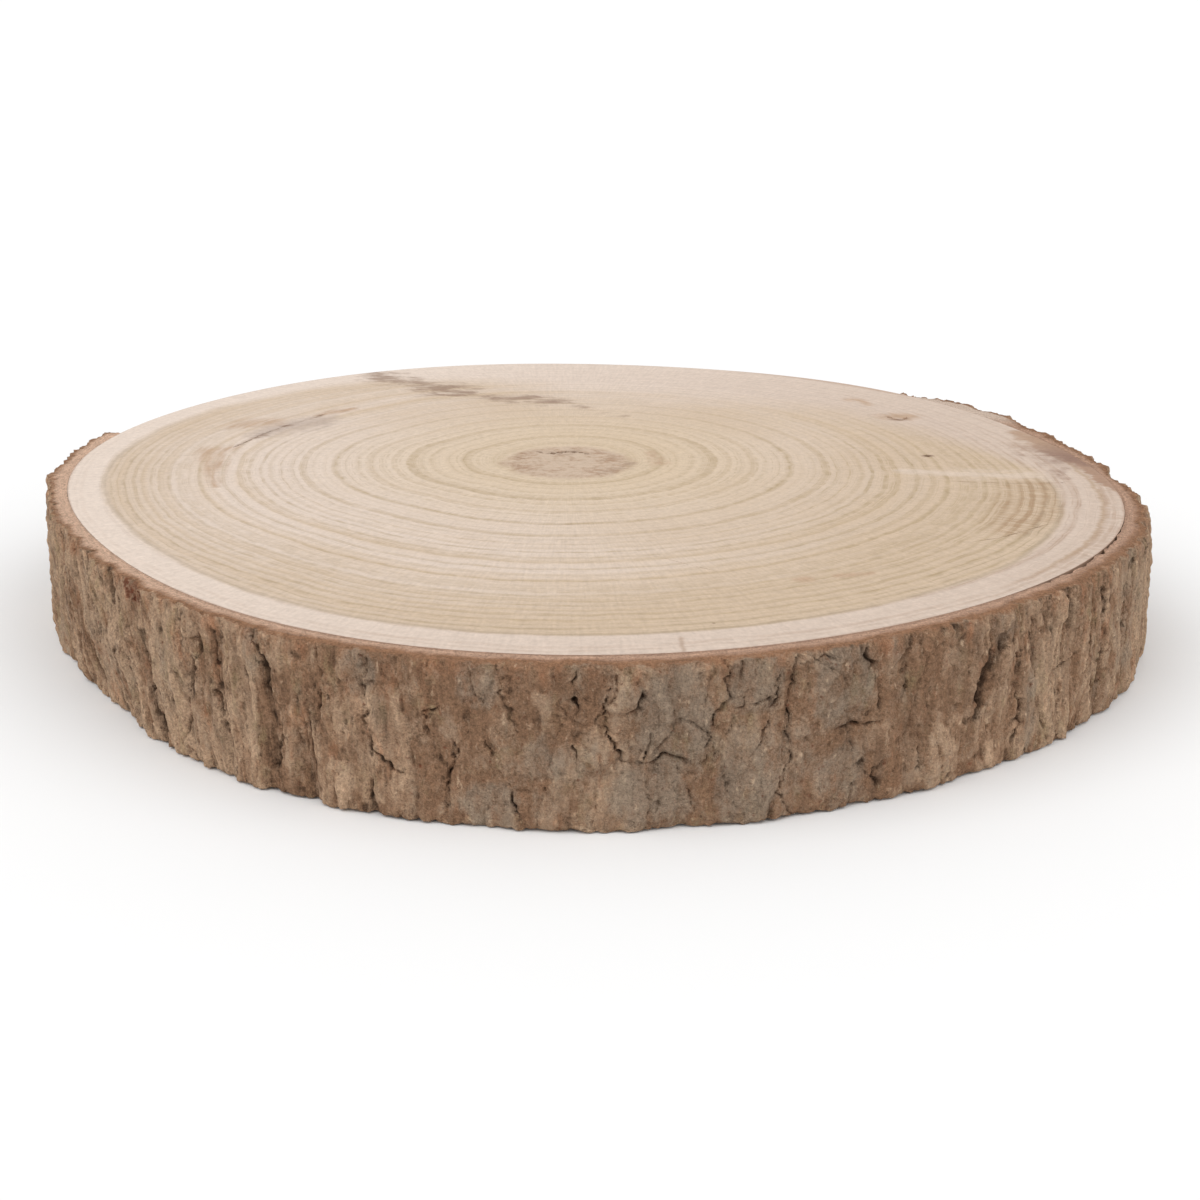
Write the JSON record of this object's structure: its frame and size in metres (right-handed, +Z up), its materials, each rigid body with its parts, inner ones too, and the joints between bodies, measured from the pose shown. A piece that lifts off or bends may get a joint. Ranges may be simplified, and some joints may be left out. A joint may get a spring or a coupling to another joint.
{
  "type": "wood slice",
  "caption": "Round slice sawn across a tree trunk: a flat disc of pale ringed wood inside its ring of rough, furrowed bark, to rest things on or to display.",
  "frame": {"origin": "middle of the flat underside, under the middle of the slice's box", "axes": "+Z up along the trunk, out of the upper sawn face; +X to the right and +Y to the back as the slice lies in the picture"},
  "size_m": [0.3134, 0.3123, 0.04],
  "materials": {
    "wood": "sawn end grain, dry and unfinished, matt",
    "bark": "rough dry bark, matt"
  },
  "bodies": {
    "root": {"wood": "wood", "bark": "bark"}
  },
  "joints": []
}
